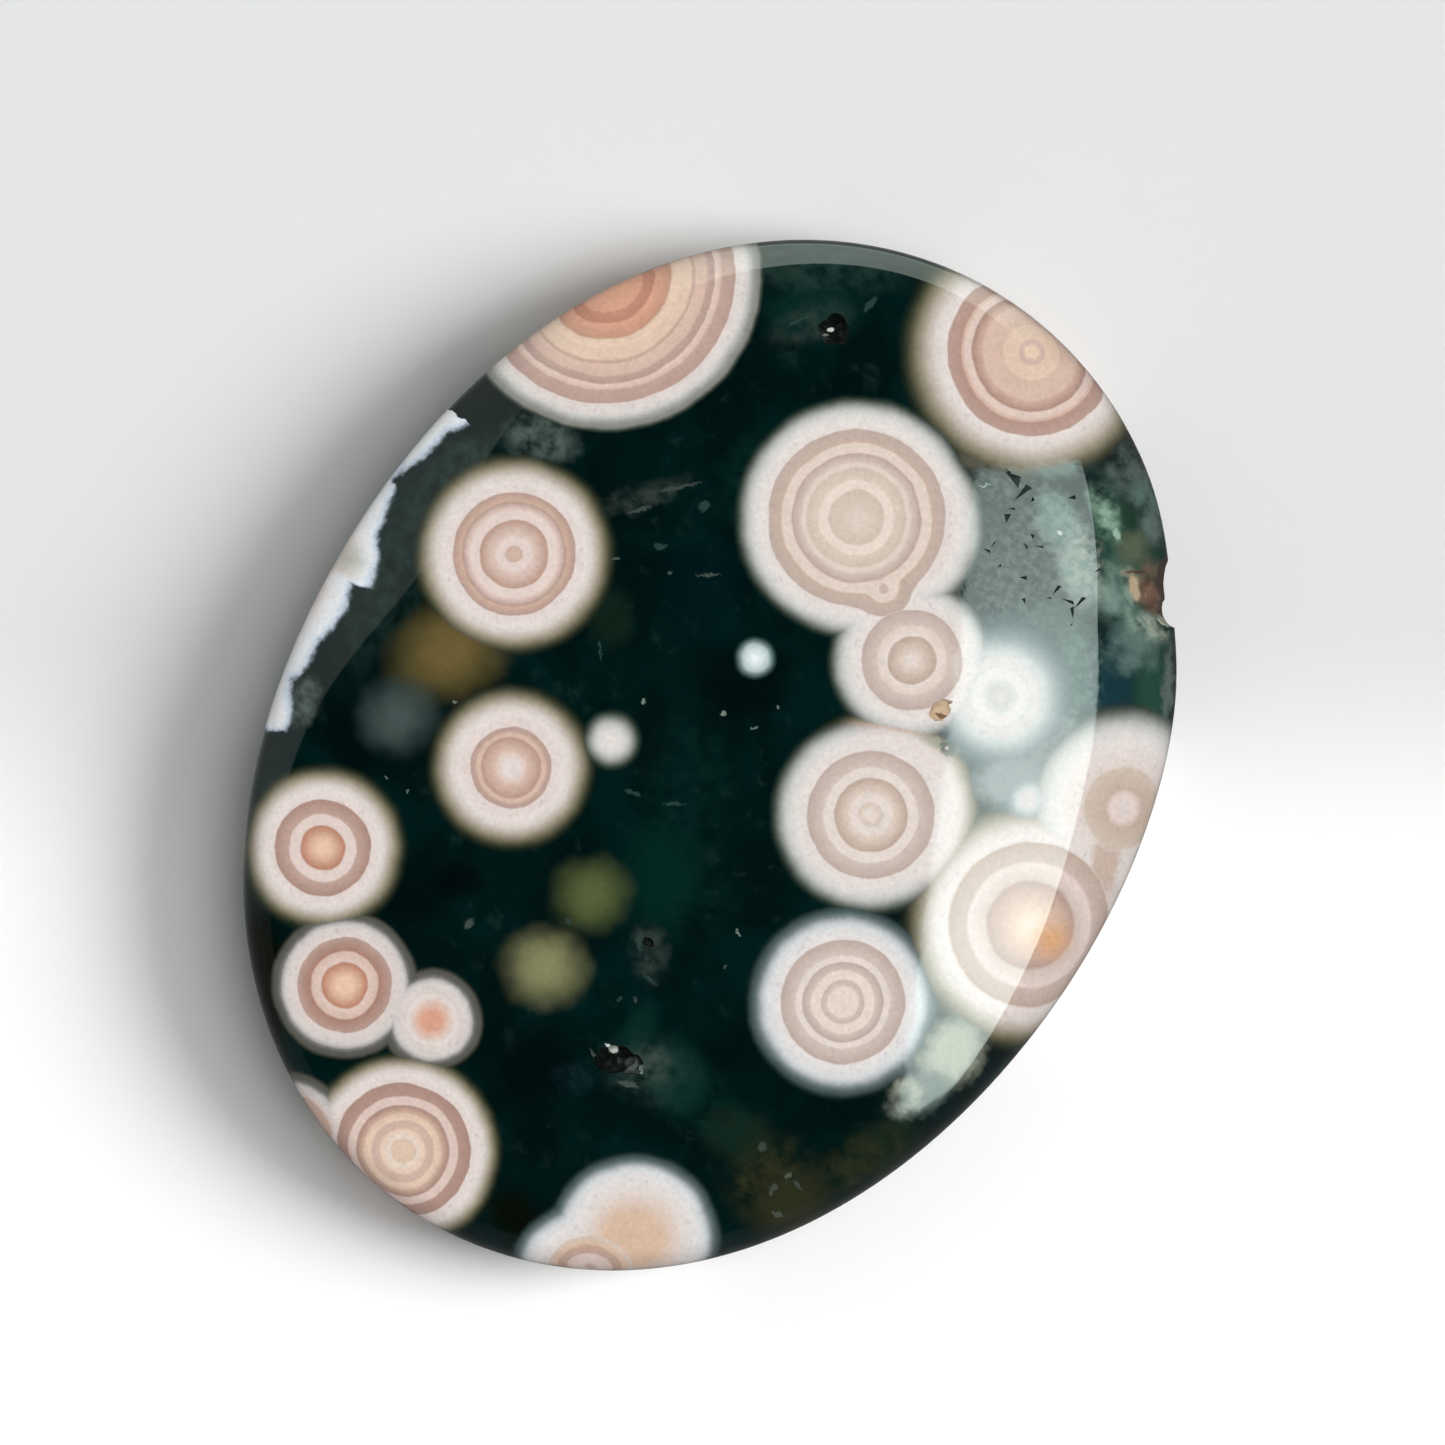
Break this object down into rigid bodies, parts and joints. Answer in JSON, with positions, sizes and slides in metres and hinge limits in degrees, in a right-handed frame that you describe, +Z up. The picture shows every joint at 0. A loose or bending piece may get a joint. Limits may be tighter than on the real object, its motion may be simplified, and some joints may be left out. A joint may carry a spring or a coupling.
{
  "type": "ocean jasper medallion",
  "caption": "Polished oval stone medallion: a softly domed face with a ridge and bevel, small open hollows, a chipped rim and a shallow underside with a flat foot.",
  "frame": {"origin": "under the middle of the oval outline, on the surface that the stone rests on", "axes": "+Z up out of the polished face, +Y along the oval's length, +X across it"},
  "size_m": [0.0544, 0.07, 0.0106],
  "materials": {
    "polished_jasper": "polished, dark green chalcedony with round pink, cream and white ringed orbs"
  },
  "bodies": {
    "root": {"jasper_medallion": "polished_jasper"}
  },
  "joints": []
}
